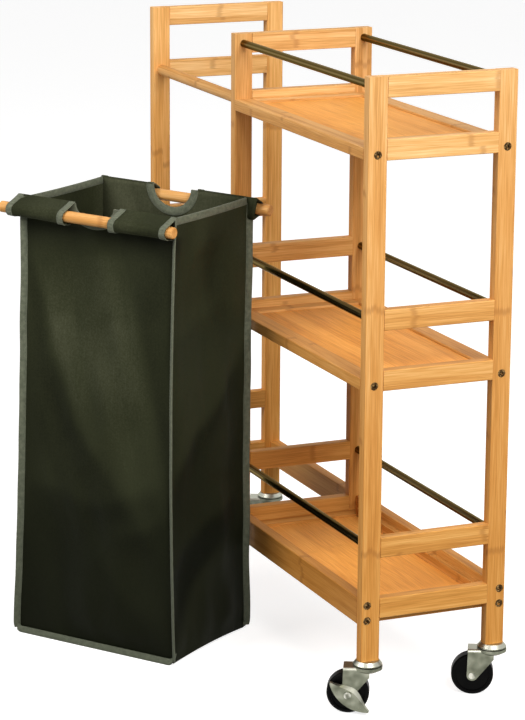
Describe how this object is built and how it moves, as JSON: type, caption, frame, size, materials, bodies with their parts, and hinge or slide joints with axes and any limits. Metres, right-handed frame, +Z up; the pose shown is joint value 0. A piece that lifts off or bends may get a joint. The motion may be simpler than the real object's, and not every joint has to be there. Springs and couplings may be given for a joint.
{
  "type": "laundry sorter on wheels",
  "caption": "Bamboo laundry trolley on swivel casters: ladder frames, guarded shelves, a bag bay and a lift-out canvas bag with dowel rims.",
  "frame": {"origin": "middle of the footprint of cart and bag together, on the floor", "axes": "+X along the cart towards its shelf end, +Y to the back, +Z up"},
  "size_m": [0.7703, 0.524, 0.8045],
  "materials": {
    "bamboo": "satin lacquer",
    "dowel_wood": "plain sanded",
    "steel_rod": "polished",
    "screw_bronze": "dark plated",
    "zinc_plate": "bright zinc",
    "wheel_black": "moulded black",
    "bag_canvas": "woven canvas"
  },
  "bodies": {
    "cart": {"left_front_post": "bamboo", "left_back_post": "bamboo", "left_shelf_rungs": "bamboo", "left_guard_rungs": "bamboo", "middle_front_post": "bamboo", "middle_back_post": "bamboo", "middle_shelf_rungs": "bamboo", "middle_guard_rungs": "bamboo", "right_front_post": "bamboo", "right_back_post": "bamboo", "right_shelf_rungs": "bamboo", "right_guard_rungs": "bamboo", "top_shelf_front_rail": "bamboo", "top_shelf_back_rail": "bamboo", "top_shelf_end_rails": "bamboo", "top_shelf_panel": "bamboo", "middle_shelf_front_rail": "bamboo", "middle_shelf_back_rail": "bamboo", "middle_shelf_end_rails": "bamboo", "middle_shelf_panel": "bamboo", "bottom_shelf_front_rail": "bamboo", "bottom_shelf_back_rail": "bamboo", "bottom_shelf_end_rails": "bamboo", "bottom_shelf_panel": "bamboo", "bottom_shelf_cleats": "bamboo", "bottom_guard_rods": "steel_rod", "middle_guard_rods": "steel_rod", "top_guard_rods": "steel_rod", "bag_bay_tie_bar": "bamboo", "bag_bay_front_rail": "bamboo", "bag_bay_back_rail": "bamboo", "frame_screws": "screw_bronze", "left_front_caster_socket": "zinc_plate", "left_back_caster_socket": "zinc_plate", "right_front_caster_socket": "zinc_plate", "right_back_caster_socket": "zinc_plate"},
    "left_front_fork": {"left_front_caster_fork": "zinc_plate", "left_front_caster_axle": "zinc_plate"},
    "left_front_wheel": {"left_front_caster_wheel": "wheel_black"},
    "left_front_brake": {"left_front_brake_lever": "zinc_plate"},
    "left_back_fork": {"left_back_caster_fork": "zinc_plate", "left_back_caster_axle": "zinc_plate"},
    "left_back_wheel": {"left_back_caster_wheel": "wheel_black"},
    "right_front_fork": {"right_front_caster_fork": "zinc_plate", "right_front_caster_axle": "zinc_plate"},
    "right_front_wheel": {"right_front_caster_wheel": "wheel_black"},
    "right_front_brake": {"right_front_brake_lever": "zinc_plate"},
    "right_back_fork": {"right_back_caster_fork": "zinc_plate", "right_back_caster_axle": "zinc_plate"},
    "right_back_wheel": {"right_back_caster_wheel": "wheel_black"},
    "bag": {"bag_front_panel": "bag_canvas", "bag_back_panel": "bag_canvas", "bag_right_panel": "bag_canvas", "bag_left_panel": "bag_canvas", "bag_bottom_panel": "bag_canvas", "bag_front_dowel": "dowel_wood", "bag_back_dowel": "dowel_wood"}
  },
  "joints": [
    {"name": "left_front_swivel", "type": "hinge", "parent": "cart", "child": "left_front_fork", "pos_m": [-0.35385, 0.06798, 0.0615], "axis": [0, 0, 1], "continuous": true},
    {"name": "left_front_roll", "type": "hinge", "parent": "left_front_fork", "child": "left_front_wheel", "pos_m": [-0.36474, 0.04659, 0.027], "axis": [0.891, -0.454, 0], "continuous": true},
    {"name": "left_front_brake_press", "type": "hinge", "parent": "left_front_fork", "child": "left_front_brake", "pos_m": [-0.36474, 0.04659, 0.027], "axis": [0.891, -0.454, 0], "range_deg": [0, 18]},
    {"name": "left_back_swivel", "type": "hinge", "parent": "cart", "child": "left_back_fork", "pos_m": [-0.35385, 0.24298, 0.0615], "axis": [0, 0, 1], "continuous": true},
    {"name": "left_back_roll", "type": "hinge", "parent": "left_back_fork", "child": "left_back_wheel", "pos_m": [-0.36474, 0.22159, 0.027], "axis": [0.891, -0.454, 0], "continuous": true},
    {"name": "right_front_swivel", "type": "hinge", "parent": "cart", "child": "right_front_fork", "pos_m": [0.36615, 0.06798, 0.0615], "axis": [0, 0, 1], "continuous": true},
    {"name": "right_front_roll", "type": "hinge", "parent": "right_front_fork", "child": "right_front_wheel", "pos_m": [0.35526, 0.04659, 0.027], "axis": [0.891, -0.454, 0], "continuous": true},
    {"name": "right_front_brake_press", "type": "hinge", "parent": "right_front_fork", "child": "right_front_brake", "pos_m": [0.35526, 0.04659, 0.027], "axis": [0.891, -0.454, 0], "range_deg": [0, 18]},
    {"name": "right_back_swivel", "type": "hinge", "parent": "cart", "child": "right_back_fork", "pos_m": [0.36615, 0.24298, 0.0615], "axis": [0, 0, 1], "continuous": true},
    {"name": "right_back_roll", "type": "hinge", "parent": "right_back_fork", "child": "right_back_wheel", "pos_m": [0.35526, 0.22159, 0.027], "axis": [0.891, -0.454, 0], "continuous": true},
    {"name": "bag_lift", "type": "slide", "parent": "cart", "child": "bag", "axis": [0, -0.5, 0.866], "range_m": [0, 0.35]}
  ]
}
